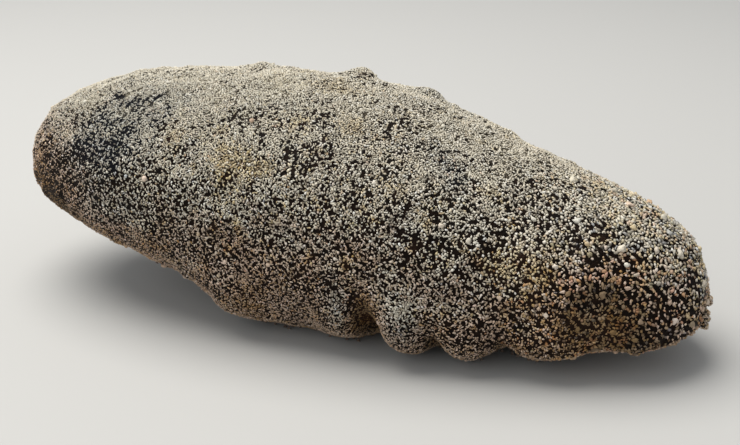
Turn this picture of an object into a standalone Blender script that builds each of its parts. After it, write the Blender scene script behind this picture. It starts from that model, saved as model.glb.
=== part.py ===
"""A stout, sand-coated sea cucumber at rest, life size, as a still museum-style model.

The body lies along X with the head at -X and the tail at +X, and its sole rests on z = 0.
It is one closed form, parted by thin upright cuts into the lengths that a person would
name. The mouth faces down and forwards under the raised head. Lengths are in metres.
"""

import math

import bmesh
import bpy
import numpy as np
from mathutils import Matrix, Vector

# Driving dimensions
BODY_LENGTH = 0.300
BODY_WIDTH = 0.116
BODY_HEIGHT = 0.101
CUT_GAP = 0.0003

# The envelope that the body swells out to, head to tail: place along the body from -1 to 1,
# half-width and crown as shares of the full half-width and height, the heights of the
# widest level and of the belly, and how square the belly's corners are. The floor cuts off
# what lies below it.
ENVELOPE = (
    (-1.00, 0.97, 1.02, 0.055, 0.020, 2.6),
    (-0.70, 0.98, 1.02, 0.058, 0.019, 2.5),
    (-0.40, 0.99, 1.01, 0.055, 0.007, 2.4),
    (-0.10, 0.99, 1.01, 0.048, -0.004, 2.5),
    (0.20, 0.96, 0.95, 0.042, -0.003, 2.6),
    (0.50, 0.91, 0.81, 0.034, -0.003, 2.7),
    (0.80, 0.86, 0.77, 0.028, -0.002, 2.7),
    (1.00, 0.80, 0.80, 0.022, 0.003, 2.7),
)
PLACE, HALF_WIDTH, CROWN, SIDE_LEVEL, BELLY, BELLY_SQUARENESS = range(6)
HEAD_BLUNTNESS = 2.55
TAIL_BLUNTNESS = 2.5
BACK_SQUARENESS = 2.15

# Spacing of the body's mesh: steps round it and along it, and how far the steps along it
# are drawn in towards its middle.
ROUND_STEPS = 60
LENGTH_STEPS = 80
CROWDING = 0.15

# Upright cuts between the lengths of the body, by place
LENGTHS = (
    ("head_end", -1.0, -0.64),
    ("front_trunk", -0.64, -0.24),
    ("middle_trunk", -0.24, 0.19),
    ("rear_trunk", 0.19, 0.60),
    ("tail_end", 0.60, 1.0),
)

# Teats along the lower flanks: place, degrees down from the widest level, reach, and the
# radii along the body and round it.
NEAR_TEATS = (
    (-0.67, 40, 0.0020, 0.011, 0.015),
    (-0.24, 48, 0.0065, 0.012, 0.018),
    (0.10, 46, 0.0030, 0.007, 0.016),
    (0.26, 46, 0.0070, 0.009, 0.020),
    (0.41, 46, 0.0055, 0.010, 0.020),
    (0.63, 40, 0.0035, 0.012, 0.018),
    (0.86, 38, 0.0030, 0.008, 0.012),
)
FAR_TEATS = (
    (-0.60, 40, 0.0025, 0.011, 0.015),
    (-0.34, 44, 0.0045, 0.011, 0.016),
    (-0.12, 46, 0.0060, 0.011, 0.018),
    (0.15, 46, 0.0060, 0.010, 0.019),
    (0.36, 46, 0.0055, 0.011, 0.019),
    (0.58, 42, 0.0040, 0.011, 0.017),
    (0.82, 38, 0.0030, 0.009, 0.012),
)
# A teat leans outwards: the share of the surface's upright slope that it follows
TEAT_DROOP = 0.4

# Knobs and creases elsewhere: place, degrees from the far flank over the back, reach, and
# the two radii. A crease has a reach below zero.
KNOBS = (
    (-0.32, 74, 0.0025, 0.007, 0.007),
    (-0.02, 71, 0.0035, 0.007, 0.009),
    (0.17, 68, 0.0020, 0.007, 0.009),
    (0.38, 66, 0.0015, 0.007, 0.009),
    (0.155, 220, -0.0060, 0.006, 0.020),
    (0.335, 226, -0.0020, 0.005, 0.014),
    (0.51, 226, -0.0020, 0.007, 0.014),
)

# The mouth, a round pocket under the head, with its lip and its buccal disc
MOUTH_PLACE = -0.84
MOUTH_RADIUS = 0.0120
MOUTH_DEPTH = 0.0045
LIP_RADIUS = 0.0020
LIP_HALF_HEIGHT = 0.0032
DISC_HEIGHT = 0.0030
MOUTH_STEPS = 32

# The two whorls of oral tentacles: count, radius of the ring of roots, lean outwards in
# degrees, length, radius of the shield at the end.
WHORLS = (
    (10, 0.0057, 25, 0.0085, 0.0022),
    (10, 0.0038, 10, 0.0070, 0.0017),
)
STALK_RADIUS = 0.0010
STALK_TIP_RADIUS = 0.0007
SHIELD_FLATNESS = 0.45
ROOT_SINK = 0.0015

# The anus at the tail's tip, a small pit among five papillae
ANUS_RADIUS = 0.0030
ANUS_DEPTH = 0.0035
PAPILLAE = 5
PAPILLA_RADIUS = 0.0017
PAPILLA_HALF_HEIGHT = 0.0022
PAPILLA_SINK = 0.0009
PAPILLA_RING = 0.0062


def along(column, place):
    """One column of the envelope, read at each place on a smooth curve through its rows."""
    places = np.array([row[PLACE] for row in ENVELOPE])
    values = np.array([row[column] for row in ENVELOPE])
    slopes = np.gradient(values, places)
    i = np.clip(np.searchsorted(places, place) - 1, 0, len(places) - 2)
    span = places[i + 1] - places[i]
    u = (place - places[i]) / span
    rise = values[i + 1] - values[i]
    bend = (slopes[i] * span - rise) * (1 - u) - (slopes[i + 1] * span - rise) * u
    return values[i] + u * rise + u * (1 - u) * bend


def bare_body(place, girth):
    """Points of the body without its teats and knobs.

    place runs from -1 at the head's tip to 1 at the tail's, and girth goes round the body
    from the far flank at 0, over the back at pi / 2.
    """
    bluntness = np.where(place < 0, HEAD_BLUNTNESS, TAIL_BLUNTNESS)
    swell = (1 - np.abs(place) ** bluntness) ** (1 / bluntness)
    over, across = np.sin(girth), np.cos(girth)
    square = np.where(over > 0, BACK_SQUARENESS, along(BELLY_SQUARENESS, place))
    level = along(SIDE_LEVEL, place)
    crown = BODY_HEIGHT * along(CROWN, place)
    height = np.where(over > 0, crown, along(BELLY, place)) - level
    half_width = BODY_WIDTH / 2 * along(HALF_WIDTH, place)
    side = half_width * np.sign(across) * np.abs(across) ** (2 / square)
    rise = height * np.abs(over) ** (2 / square)
    return np.stack((place * BODY_LENGTH / 2, swell * side, level + swell * rise), axis=-1)


def outward(place, girth):
    """Unit normals of the bare body."""
    step = 0.002
    place = np.clip(place, -1 + 2 * step, 1 - 2 * step)
    lengthwise = bare_body(place + step, girth) - bare_body(place - step, girth)
    round_it = bare_body(place, girth + step) - bare_body(place, girth - step)
    normal = np.cross(round_it, lengthwise)
    return normal / np.linalg.norm(normal, axis=-1, keepdims=True)


def swelling(points, centre, reach, radius_along, radius_round):
    """How far each point rises on a rounded knob about a centre on the bare body."""
    offset = points - centre
    lengthwise = offset[:, 0] / radius_along
    round_it = np.hypot(offset[:, 1], offset[:, 2]) / radius_round
    return (reach * np.exp(-(lengthwise**2) - round_it**2))[:, None]


def centre_at(place, degrees):
    return bare_body(np.array([place]), np.radians([degrees]))[0]


def body_surface(place, girth):
    """Points of the body with its teats, knobs and creases."""
    bare = bare_body(place, girth)
    normal = outward(place, girth)
    sideways = normal * (1, 1, TEAT_DROOP)
    raised = bare.copy()
    for at, down, *size in NEAR_TEATS:
        raised += sideways * swelling(bare, centre_at(at, 180 + down), *size)
    for at, down, *size in FAR_TEATS:
        raised += sideways * swelling(bare, centre_at(at, -down), *size)
    for at, angle, *size in KNOBS:
        raised += normal * swelling(bare, centre_at(at, angle), *size)
    return raised


def body_mesh():
    """The whole body, as a sphere drawn out to its surface."""
    body = bmesh.new()
    bmesh.ops.create_uvsphere(
        body, u_segments=ROUND_STEPS, v_segments=LENGTH_STEPS, radius=1
    )
    sphere = np.array([vert.co for vert in body.verts])
    turn = np.arccos(np.clip(-sphere[:, 2], -1, 1))
    place = -np.cos(turn + CROWDING * np.sin(2 * turn))
    girth = np.arctan2(sphere[:, 1], sphere[:, 0])
    for vert, point in zip(body.verts, body_surface(place, girth)):
        vert.co = point
    bmesh.ops.recalc_face_normals(body, faces=body.faces)
    return body


def cut_off(mesh, point, outer):
    """Cuts a closed mesh by a plane, drops what lies beyond it and closes the cut."""
    parts = mesh.verts[:] + mesh.edges[:] + mesh.faces[:]
    cut = bmesh.ops.bisect_plane(
        mesh, geom=parts, plane_co=point, plane_no=outer, clear_outer=True
    )
    rim = [part for part in cut["geom_cut"] if isinstance(part, bmesh.types.BMEdge)]
    bmesh.ops.holes_fill(mesh, edges=rim)


def lengths_of_body():
    """(name, mesh) of each length of the body, on a sole cut level at the floor."""
    whole = body_mesh()
    cut_off(whole, (0, 0, 0), (0, 0, -1))
    half = BODY_LENGTH / 2
    for name, start, end in LENGTHS:
        piece = whole.copy()
        if start > -1:
            cut_off(piece, (start * half + CUT_GAP / 2, 0, 0), (-1, 0, 0))
        if end < 1:
            cut_off(piece, (end * half - CUT_GAP / 2, 0, 0), (1, 0, 0))
        yield name, piece
    whole.free()


def cylinder(frame, bottom, top, radius, steps, top_radius=None):
    """A round or tapered post along the frame's Z, between two heights on it."""
    mesh = bmesh.new()
    middle = frame @ Matrix.Translation((0, 0, (bottom + top) / 2))
    bmesh.ops.create_cone(
        mesh,
        cap_ends=True,
        segments=steps,
        radius1=radius,
        radius2=radius if top_radius is None else top_radius,
        depth=top - bottom,
        matrix=middle,
    )
    return mesh


def ellipsoid(frame, radius, half_height, steps, rings):
    mesh = bmesh.new()
    scaled = frame @ Matrix.Diagonal((radius, radius, half_height, 1))
    bmesh.ops.create_uvsphere(
        mesh, u_segments=steps, v_segments=rings, radius=1, matrix=scaled
    )
    return mesh


def ring(frame, ring_radius, radius, half_height, steps, rings):
    """A torus of oval section about the frame's Z, spun from one oval."""
    mesh = bmesh.new()
    oval = bmesh.ops.create_circle(mesh, segments=rings, radius=1)["verts"]
    for vert in oval:
        vert.co = (ring_radius + radius * vert.co.x, 0, half_height * vert.co.y)
    bmesh.ops.spin(
        mesh,
        geom=mesh.edges[:] + oval,
        axis=(0, 0, 1),
        angle=2 * math.pi,
        steps=steps,
        use_merge=True,
    )
    bmesh.ops.remove_doubles(mesh, verts=mesh.verts, dist=1e-6)
    mesh.transform(frame)
    return mesh


def frame_on_body(place, degrees):
    """A frame on the body's surface with its Z pointing straight out of it."""
    at = np.array([place]), np.radians([degrees])
    centre, normal = body_surface(*at)[0], outward(*at)[0]
    turned = Vector(normal).to_track_quat("Z", "Y").to_matrix().to_4x4()
    return Matrix.Translation(Vector(centre)) @ turned


def whorl_frames(frame, count, ring_radius, lean=0, start=0):
    """Frames set round a ring, each leaning outwards by some degrees."""
    for i in range(count):
        turn = Matrix.Rotation(2 * math.pi * (i + start) / count, 4, "Z")
        out = Matrix.Translation((ring_radius, 0, 0))
        yield frame @ turn @ out @ Matrix.Rotation(math.radians(lean), 4, "Y")


def tentacle_meshes(disc_top):
    """The stalk and the end shield of each oral tentacle."""
    for row, (count, ring_radius, lean, length, shield) in enumerate(WHORLS):
        for root in whorl_frames(disc_top, count, ring_radius, lean, row / 2):
            yield cylinder(root, -ROOT_SINK, length, STALK_RADIUS, 6, STALK_TIP_RADIUS)
            end = root @ Matrix.Translation((0, 0, length))
            yield ellipsoid(end, shield, shield * SHIELD_FLATNESS, 7, 4)


def papilla_meshes():
    tip = Matrix.Translation(Vector(centre_at(1, 90))) @ Matrix.Rotation(math.pi / 2, 4, "Y")
    for root in whorl_frames(tip, PAPILLAE, PAPILLA_RING, 30, 0.5):
        sunk = root @ Matrix.Translation((0, 0, -PAPILLA_SINK))
        yield ellipsoid(sunk, PAPILLA_RADIUS, PAPILLA_HALF_HEIGHT, 8, 7)


def anus_cutter():
    tip = Matrix.Translation(Vector(centre_at(1, 90))) @ Matrix.Rotation(math.pi / 2, 4, "Y")
    return ellipsoid(tip, ANUS_RADIUS, ANUS_DEPTH, 16, 9)


def principled(name, colour, roughness):
    material = bpy.data.materials.new(name)
    material.use_nodes = True
    shader = material.node_tree.nodes["Principled BSDF"]
    shader.inputs["Base Color"].default_value = (*colour, 1)
    shader.inputs["Roughness"].default_value = roughness
    shader.inputs["Metallic"].default_value = 0
    return material


def object_from(mesh, name, collection, material=None):
    bmesh.ops.recalc_face_normals(mesh, faces=mesh.faces)
    if mesh.calc_volume(signed=True) < 0:
        bmesh.ops.reverse_faces(mesh, faces=mesh.faces)
    data = bpy.data.meshes.new(name)
    mesh.to_mesh(data)
    mesh.free()
    if material:
        data.materials.append(material)
    made = bpy.data.objects.new(name, data)
    collection.objects.link(made)
    return made


def new_collection(name):
    made = bpy.data.collections.new(name)
    bpy.context.scene.collection.children.link(made)
    return made


def keep_largest_surface(data):
    mesh = bmesh.new()
    mesh.from_mesh(data)
    left, surfaces = set(mesh.faces), []
    while left:
        surface, edge_of = set(), [left.pop()]
        while edge_of:
            face = edge_of.pop()
            surface.add(face)
            near = {other for edge in face.edges for other in edge.link_faces} & left
            left -= near
            edge_of.extend(near)
        surfaces.append(surface)
    largest = max(surfaces, key=lambda faces: sum(face.calc_area() for face in faces))
    stray = [face for face in mesh.faces if face not in largest]
    bmesh.ops.delete(mesh, geom=stray, context="FACES")
    mesh.to_mesh(data)
    mesh.free()


def combine(made, operation, meshes):
    """Joins closed meshes to an object, or cuts them from it, and applies the Boolean."""
    tools = new_collection(made.name + "_tools")
    for mesh in meshes:
        object_from(mesh, "tool", tools)
    boolean = made.modifiers.new(operation, "BOOLEAN")
    boolean.operation = operation
    boolean.operand_type = "COLLECTION"
    boolean.collection = tools
    graph = bpy.context.evaluated_depsgraph_get()
    data = bpy.data.meshes.new_from_object(made.evaluated_get(graph))
    made.modifiers.clear()
    made.data = data
    for tool in list(tools.objects):
        bpy.data.objects.remove(tool)
    bpy.data.collections.remove(tools)
    keep_largest_surface(made.data)


def main():
    for item in list(bpy.data.objects):
        bpy.data.objects.remove(item)
    animal = new_collection("sea_cucumber")
    skin = principled("sanded_skin", (0.33, 0.29, 0.23), 0.85)
    lip_skin = principled("lip_skin", (0.035, 0.033, 0.036), 0.55)
    tentacle_skin = principled("tentacle_skin", (0.060, 0.052, 0.048), 0.50)

    body = {name: object_from(mesh, name, animal, skin) for name, mesh in lengths_of_body()}

    mouth = frame_on_body(MOUTH_PLACE, -90)
    pocket = cylinder(mouth, -MOUTH_DEPTH, MOUTH_DEPTH, MOUTH_RADIUS, MOUTH_STEPS)
    combine(body["head_end"], "DIFFERENCE", [pocket])
    combine(body["tail_end"], "UNION", papilla_meshes())
    combine(body["tail_end"], "DIFFERENCE", [anus_cutter()])

    pocket_floor = mouth @ Matrix.Translation((0, 0, CUT_GAP - MOUTH_DEPTH))
    lip_ring = MOUTH_RADIUS - CUT_GAP - LIP_RADIUS
    lip_middle = pocket_floor @ Matrix.Translation((0, 0, LIP_HALF_HEIGHT))
    lip = ring(lip_middle, lip_ring, LIP_RADIUS, LIP_HALF_HEIGHT, MOUTH_STEPS, 10)
    object_from(lip, "mouth_lip", animal, lip_skin)

    disc_radius = lip_ring - LIP_RADIUS - CUT_GAP
    disc = cylinder(pocket_floor, 0, DISC_HEIGHT, disc_radius, MOUTH_STEPS)
    tentacles = object_from(disc, "oral_tentacles", animal, tentacle_skin)
    disc_top = pocket_floor @ Matrix.Translation((0, 0, DISC_HEIGHT))
    combine(tentacles, "UNION", tentacle_meshes(disc_top))

    for made in animal.objects:
        made.data.shade_smooth()
        made.data.set_sharp_from_angle(angle=math.radians(50))


if __name__ == "__main__":
    main()
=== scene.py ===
"""Looks of the sand-coated sea cucumber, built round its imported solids.

One dark skin stands for the lengths of the body. A coat of loose coral sand, modelled
grain by grain, lies on it, with mouth, tentacles, tube feet and anal papillae finer than
the solids have them. Lengths are in metres.
"""

import math

import bmesh
import bpy
import numpy as np
from mathutils import Matrix, Vector


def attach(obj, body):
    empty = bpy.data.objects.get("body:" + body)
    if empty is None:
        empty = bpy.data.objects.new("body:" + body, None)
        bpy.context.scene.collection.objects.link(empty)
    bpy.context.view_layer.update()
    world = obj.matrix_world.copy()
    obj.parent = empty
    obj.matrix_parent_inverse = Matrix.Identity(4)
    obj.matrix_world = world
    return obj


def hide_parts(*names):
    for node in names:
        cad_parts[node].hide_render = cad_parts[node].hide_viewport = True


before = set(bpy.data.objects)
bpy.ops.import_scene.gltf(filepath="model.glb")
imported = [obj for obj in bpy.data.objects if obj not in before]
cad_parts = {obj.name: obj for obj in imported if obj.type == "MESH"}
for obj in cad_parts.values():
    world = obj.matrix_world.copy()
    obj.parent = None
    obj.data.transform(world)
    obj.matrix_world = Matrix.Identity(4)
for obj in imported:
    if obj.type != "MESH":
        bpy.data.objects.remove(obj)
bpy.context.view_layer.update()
random = np.random.default_rng(20)

# The body's envelope, as in the solids: place along the body from -1 to 1, half-width and
# crown as shares of the full half-width and height, the heights of the widest level and of
# the belly, and how square the belly's corners are.
BODY_LENGTH = 0.300
BODY_WIDTH = 0.116
BODY_HEIGHT = 0.101
ENVELOPE = (
    (-1.00, 0.97, 1.02, 0.055, 0.020, 2.6),
    (-0.70, 0.98, 1.02, 0.058, 0.019, 2.5),
    (-0.40, 0.99, 1.01, 0.055, 0.007, 2.4),
    (-0.10, 0.99, 1.01, 0.048, -0.004, 2.5),
    (0.20, 0.96, 0.95, 0.042, -0.003, 2.6),
    (0.50, 0.91, 0.81, 0.034, -0.003, 2.7),
    (0.80, 0.86, 0.77, 0.028, -0.002, 2.7),
    (1.00, 0.80, 0.80, 0.022, 0.003, 2.7),
)
PLACE, HALF_WIDTH, CROWN, SIDE_LEVEL, BELLY, BELLY_SQUARENESS = range(6)
HEAD_BLUNTNESS = 2.55
TAIL_BLUNTNESS = 2.5
BACK_SQUARENESS = 2.15

# Teats along the lower flanks, the near ones first: place, degrees from the far flank over
# the back, reach, and radii along the body and round it. Reaches and radii in these tables
# are in millimetres.
TEATS = (
    (-0.67, 220, 2, 11, 15),
    (-0.24, 228, 6.5, 12, 18),
    (0.10, 226, 3, 7, 16),
    (0.26, 226, 7, 9, 20),
    (0.41, 226, 5.5, 10, 20),
    (0.63, 220, 3.5, 12, 18),
    (0.86, 218, 3, 8, 12),
    (-0.60, -40, 2.5, 11, 15),
    (-0.34, -44, 4.5, 11, 16),
    (-0.12, -46, 6, 11, 18),
    (0.15, -46, 6, 10, 19),
    (0.36, -46, 5.5, 11, 19),
    (0.58, -42, 4, 11, 17),
    (0.82, -38, 3, 9, 12),
)
TEAT_DROOP = 0.4

# Knobs and creases of the solids, the same way; a crease's reach is below zero
KNOBS = (
    (-0.32, 74, 2.5, 7, 7),
    (-0.02, 71, 3.5, 7, 9),
    (0.17, 68, 2, 7, 9),
    (0.38, 66, 1.5, 7, 9),
    (0.155, 220, -6, 6, 20),
    (0.335, 226, -2, 5, 14),
    (0.51, 226, -2, 7, 14),
)

# The skin's grid, how its rings crowd at the ends, how deep it lies under the coat's outer
# side, and the least height of its sole.
SKIN_ROUND = 250
SKIN_LENGTH = 380
CROWDING = 0.15
COAT_DEPTH = 0.0008
SKIN_INSET = 0.0004
SOLE_HEIGHT = 0.0007

# Small warts strewn over the skin: how many, and the least and most reach and radius
WARTS = 420
WART_REACH = (0.0003, 0.0009)
WART_RADIUS = (0.0018, 0.0034)

# Finer creases: places and degrees of their two ends, depth and half-width
CREASES = (
    (-0.645, 117.5, -0.575, 107, 0.0009, 0.0007),
    (-0.635, 119, -0.610, 115, 0.0010, 0.0009),
    (-0.525, 121, -0.485, 113.5, 0.0009, 0.0007),
    (0.135, 196, 0.165, 240, 0.0010, 0.0018),
)

# Relief that only the finished skin has, as knobs on the back, then hollows between the
# teats and rounder shoulders on them: place, degrees, reach, radii
RELIEF = (
    (-0.01, 71, 2.6, 4, 4),
    (-0.32, 78, 1, 3.5, 3.5),
    (0.19, 73, 1.5, 5.5, 5.5),
    (0.42, 71, 1.8, 4.5, 4.5),
    (0.54, 79, 1.2, 6, 6),
    (-0.13, 118, 1.2, 5, 5),
    (0.28, 112, 1, 5, 5),
    (-0.45, 132, 1, 5.5, 5.5),
    (0.02, 132, 1.2, 5, 5),
    (0.49, 124, 1, 4, 4),
    (0.155, 222, -2.2, 4.5, 16),
    (0.335, 226, -2.4, 4.5, 14),
    (0.51, 226, -2.2, 5.5, 14),
    (-0.03, 224, -1.8, 7, 14),
    (0.74, 222, -1.4, 6, 12),
    (-0.45, 222, -1.4, 8, 12),
    (0.00, -44, -2, 7, 14),
    (0.26, -46, -2.2, 5, 15),
    (0.47, -46, -2, 6, 14),
    (-0.23, -44, -1.8, 8, 13),
    (0.26, 202, 1.6, 6.5, 7.5),
    (0.09, 203, 1.2, 5.5, 8),
    (0.42, 206, 1, 6, 7.5),
    (0.58, 196, 1, 8, 7),
    (-0.26, 206, 1, 8, 8),
)

# Patches where the sand lies thin, or thick where the amount is above zero: place, degrees,
# radii and amount. Thin sand bares the dark skin: the thin patches under the head and in the
# hollows between the teats are painted shade, and the thick ones on the teats' upper sides
# painted highlights.
COVER_PATCHES = (
    (-0.62, 142, 26, 22, -0.10),
    # Thin sand under the head's rim: painted shade
    (-0.84, 192, 18, 18, -0.18),
    (-0.66, 160, 18, 12, -0.05),
    (-0.56, 128, 10, 8, -0.11),
    (0.66, 100, 35, 25, -0.05),
    (0.95, 140, 12, 30, -0.10),
    (-0.57, 163, 12, 10, -0.10),
    (-0.22, 128, 5, 5, -0.16),
    (-0.05, 142, 6, 5.5, -0.30),
    (-0.20, 153, 4, 4, -0.13),
    (0.12, 149, 7, 5, -0.22),
    (0.14, 133, 3.5, 3, -0.22),
    (0.01, 131, 3, 3, -0.18),
    (-0.14, 108, 2.2, 2.2, -0.40),
    (-0.08, 98, 2, 1.8, -0.40),
    (-0.34, 102, 2.5, 1.8, -0.35),
    (0.345, 147, 3.5, 2.5, -0.40),
    (0.30, 162, 3, 4.5, -0.40),
    (0.55, 154, 3, 3, -0.30),
    (0.42, 129, 8, 7, -0.08),
    (0.35, 144, 7, 6, -0.12),
    (0.36, 128, 6, 5, -0.12),
    (0.35, 160, 10, 8, -0.05),
    (0.47, 160, 9, 7, -0.07),
    (0.61, 145, 10, 8, -0.10),
    (0.70, 128, 6, 6, -0.18),
    (0.76, 143, 8, 9, -0.14),
    (0.74, 165, 14, 14, -0.11),
    (0.66, 148, 30, 14, 0.05),
    (0.00, 166, 24, 14, -0.05),
    (-0.04, 191, 22, 14, -0.04),
    (0.36, 188, 26, 12, 0.04),
    (0.04, 127, 26, 13, 0.05),
    (-0.24, 162, 30, 14, 0.05),
    (0.26, 186, 10, 8, 0.12),
    (0.77, 150, 7, 6, 0.20),
    (0.84, 157, 6, 6, -0.16),
    (0.90, 165, 4, 5, -0.25),
    (0.62, 178, 20, 10, -0.07),
    (0.31, 152, 4, 4, 0.30),
    (0.28, 125, 7, 7, 0.28),
    (0.70, 112, 7, 7, 0.14),
    (0.09, 123, 4, 4, 0.22),
    (-0.20, 141, 5, 5, 0.24),
    (-0.36, 121, 12, 8, 0.12),
    (0.76, 179, 14, 10, 0.08),
    (-0.13, 187, 12, 10, 0.10),
    (0.61, 174, 10, 8, 0.08),
    (0.11, 125, 7, 6, 0.18),
    (0.40, 124, 22, 12, 0.06),
    (-0.22, 148, 8, 8, 0.12),
    (-0.13, 148, 5, 5, 0.22),
    (-0.38, 112, 12, 9, 0.14),
    (0.26, 188, 8, 7, 0.08),
    (0.24, 143, 4, 4, 0.06),
    (0.33, 133, 5, 4, 0.12),
    (0.20, 118, 6, 5, 0.12),
    (-0.17, 103, 20, 10, 0.10),
    (-0.21, 112, 7, 6, 0.12),
    (-0.40, 138, 6, 6, 0.12),
    (-0.14, 163, 30, 12, 0.05),
    # Thick sand on the teats' upper sides: painted highlights
    (0.26, 200, 6, 7, 0.12),
    (0.09, 200, 5, 8, 0.12),
    # Thin sand in the hollows between the teats: painted shade
    (0.155, 215, 4, 16, -0.22),
    (0.335, 220, 4, 12, -0.18),
    (0.51, 218, 5, 12, -0.18),
    (-0.32, 84, 8.5, 6, -0.19),
    (-0.32, 80, 3, 3, 0.60),
    (-0.01, 78, 8.5, 6, -0.19),
    (-0.01, 73, 3, 3.5, 0.60),
)

# The bluish patch of thin, fine sand on the head: place, degrees and radii
HEAD_PATCH = (-0.61, 146, 26, 22)

# Patches of tint: place, degrees, radii, then warmth (cold below zero)
TINT_PATCHES = (
    (-0.63, 143, 30, 26, -0.95),
    (-0.52, 130, 14, 12, -0.60),
    (-0.48, 114, 18, 12, -0.70),
    (0.93, 125, 12, 16, -0.55),
    (0.36, 124, 9, 8, -0.80),
    (0.19, 73, 8, 7, -0.80),
    (0.09, 200, 6, 9, -0.90),
    (0.26, 198, 7, 8, -0.60),
    (-0.40, 140, 6, 6, 0.80),
    (-0.22, 150, 9, 9, 0.85),
    (-0.17, 103, 8, 6, 0.60),
    (-0.02, 95, 10, 6, 0.60),
    (0.08, 118, 5, 5, 1.00),
    (-0.13, 148, 6, 5, 1.00),
    (0.24, 143, 5, 4, 1.00),
    (0.31, 152, 5, 4, 0.55),
    (0.56, 157, 12, 10, 0.60),
    (0.61, 176, 12, 10, 0.60),
    (0.16, 215, 6, 20, 0.90),
    (0.74, 185, 20, 12, 0.60),
    (-0.86, 180, 14, 30, 0.50),
)

# Patches of browned and darkened sand, or clean where the amount is below zero: place,
# degrees, radii and amount. The darkening is brown grime and painted shade: under the head
# and on its rim, on the lower tail and flank, and in the hollows between the teats. The two
# clean patches on the teats' upper sides are painted highlights.
SHADE_AND_GRIME_PATCHES = (
    # Cleaner sand on the teats' upper sides: painted highlights
    (0.09, 200, 6, 10, -0.45),
    (0.26, 196, 6, 10, -0.40),
    (-0.24, 162, 34, 16, -0.28),
    (-0.35, 187, 24, 14, -0.15),
    (0.28, 184, 40, 14, -0.18),
    # Darker, browner sand low on the tail: painted shade and grime
    (0.76, 174, 22, 19, 1.05),
    (0.84, 195, 24, 14, 0.80),
    (0.93, 162, 10, 14, 0.35),
    # The head's rim and underside darkened: painted shade
    (-0.93, 160, 10, 40, 0.35),
    (-0.83, 194, 26, 26, 0.80),
    # Darker sand low on the flank and in the hollows between the teats: painted shade
    (0.50, 205, 30, 12, 0.35),
    (0.155, 216, 6, 20, 1.50),
    (0.335, 222, 5, 14, 1.10),
    (0.51, 222, 5, 14, 0.80),
    # Darker sand low on the near flank: painted shade
    (-0.06, 215, 30, 14, 0.35),
)

# Grains that lie alone: place, degrees, half-width, and kind of stone
LONE_GRAINS = (
    (-0.46, 165, 0.0012, 0.79),
    (-0.75, 121, 0.0009, 0.88),
    (0.80, 143, 0.0010, 0.88),
    (0.70, 137, 0.0009, 0.60),
    (-0.19, 127, 0.0009, 0.72),
)

# The mouth, tentacles and anus, as in the solids. A whorl: tentacles, radius of its ring,
# degrees that they lean, length, and size of a shield.
MOUTH_PLACE = -0.84
MOUTH_RADIUS = 0.0120
MOUTH_DEPTH = 0.0045
LIP_RADIUS = 0.0020
LIP_HALF_HEIGHT = 0.0032
DISC_HEIGHT = 0.0030
WHORLS = (
    (10, 0.0057, 25, 0.0085, 0.0022),
    (10, 0.0038, 10, 0.0070, 0.0017),
)
PAPILLAE = 5
PAPILLA_RADIUS = 0.0017
PAPILLA_HALF_HEIGHT = 0.0022
PAPILLA_SINK = 0.0009
PAPILLA_RING = 0.0062
GAP = 0.0003

# The skin's pocket at the mouth and pit at the anus: radii between which each falls to its
# full depth, and between which the sand round it sets in.
POCKET_EDGE = (0.0098, 0.0124)
BARE_MOUTH = (0.0125, 0.0165)
MOUTH_SPAN = 0.02
PIT_EDGE = (0.0012, 0.0036)
BARE_ANUS = (0.0034, 0.0052)
PIT_DEPTH = 0.0035
TAIL_START = 0.12

# Share of a solid papilla that its flesh fills, and the grains on it: how many, and the
# least and most half-width.
PAPILLA_FLESH = 0.9
PAPILLA_GRAINS = 60
PAPILLA_GRAIN = (0.00028, 0.00046)

# Tube feet: share of the girth, places and highest level of the sole that bears them, points
# tried, half of the room for each, length, level above which they are short, and radius.
SOLE_SHARE = 0.08
FOOT_PLACES = (-0.72, 0.60)
FOOT_LEVEL = 0.030
FOOT_TRIES = 30000
FOOT_ROOM = 0.00125
FOOT_LENGTH = (0.0018, 0.0036)
SHORT_LEVEL = 0.006
SHORT_SHARE = 0.45
STUB_LENGTH = 0.0012
FOOT_RADIUS = (0.00045, 0.00062)

# Sand: least and most half-width of a coarse, medium and fine grain, the most that one is
# drawn out, how close two may come as a share of their size, and points tried.
GRAIN_CLASSES = (
    (0.00065, 0.00095, 1.4, 3.0, 6000),
    (0.00033, 0.00054, 1.9, 0.66, 520000),
    (0.00023, 0.00032, 1.6, 0.78, 330000),
)

# The gaps in the coat: their usual spacing in each region, and the waves they are made of
# with the band of their lengths.
GAP_PERIODS = {"trunk": 0.0015, "top": 0.0021, "fine": 0.00125, "tail": 0.0021}
GAP_WAVES = 28
GAP_BAND = (0.6, 1.35)

# The coat's pieces: name, how many, level of the ball that a grain is made from (0 for a
# double cone), and how many shapes of grain there are.
SAND_PIECES = (("coarse", 1, 2, 24), ("medium", 8, 0, 36), ("fine", 4, 0, 24))
BAKE_PATCH = 0.003

# Kinds of flesh: dark and pale colour, scale of the mottling, and roughness
FLESH = {
    "lip_flesh": ((28, 25, 28), (70, 62, 62), 500, 0.5),
    "tentacle_flesh": ((36, 31, 29), (112, 98, 86), 900, 0.48),
    "papilla_flesh": ((44, 36, 29), (104, 92, 76), 700, 0.75),
    "foot_flesh": ((60, 50, 46), (136, 116, 100), 900, 0.55),
}

# The view: degrees round from the near side and up, distance, the point looked at, and the
# focal length and picture's width in pixels.
VIEW_TURN = 20
VIEW_RISE = 22.5
VIEW_DISTANCE = 0.5
VIEW_TARGET = (0.008, 0, 0.040)
FOCAL_LENGTH = 1175
PICTURE_WIDTH = 740
SENSOR_WIDTH = 36

# The studio's lights: name, place, the point lit, power and colour
LIGHTS = (
    ("top_light", (-0.38, 0.0, 1.25), (0, 0, 0.05), 20.6, (1, 0.985, 0.95)),
    ("side_light", (-0.6, -1.3, 1.0), (0, 0, 0.04), 4.0, (0.95, 0.98, 1)),
)
LIGHT_SIZE = 1.2


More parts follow.
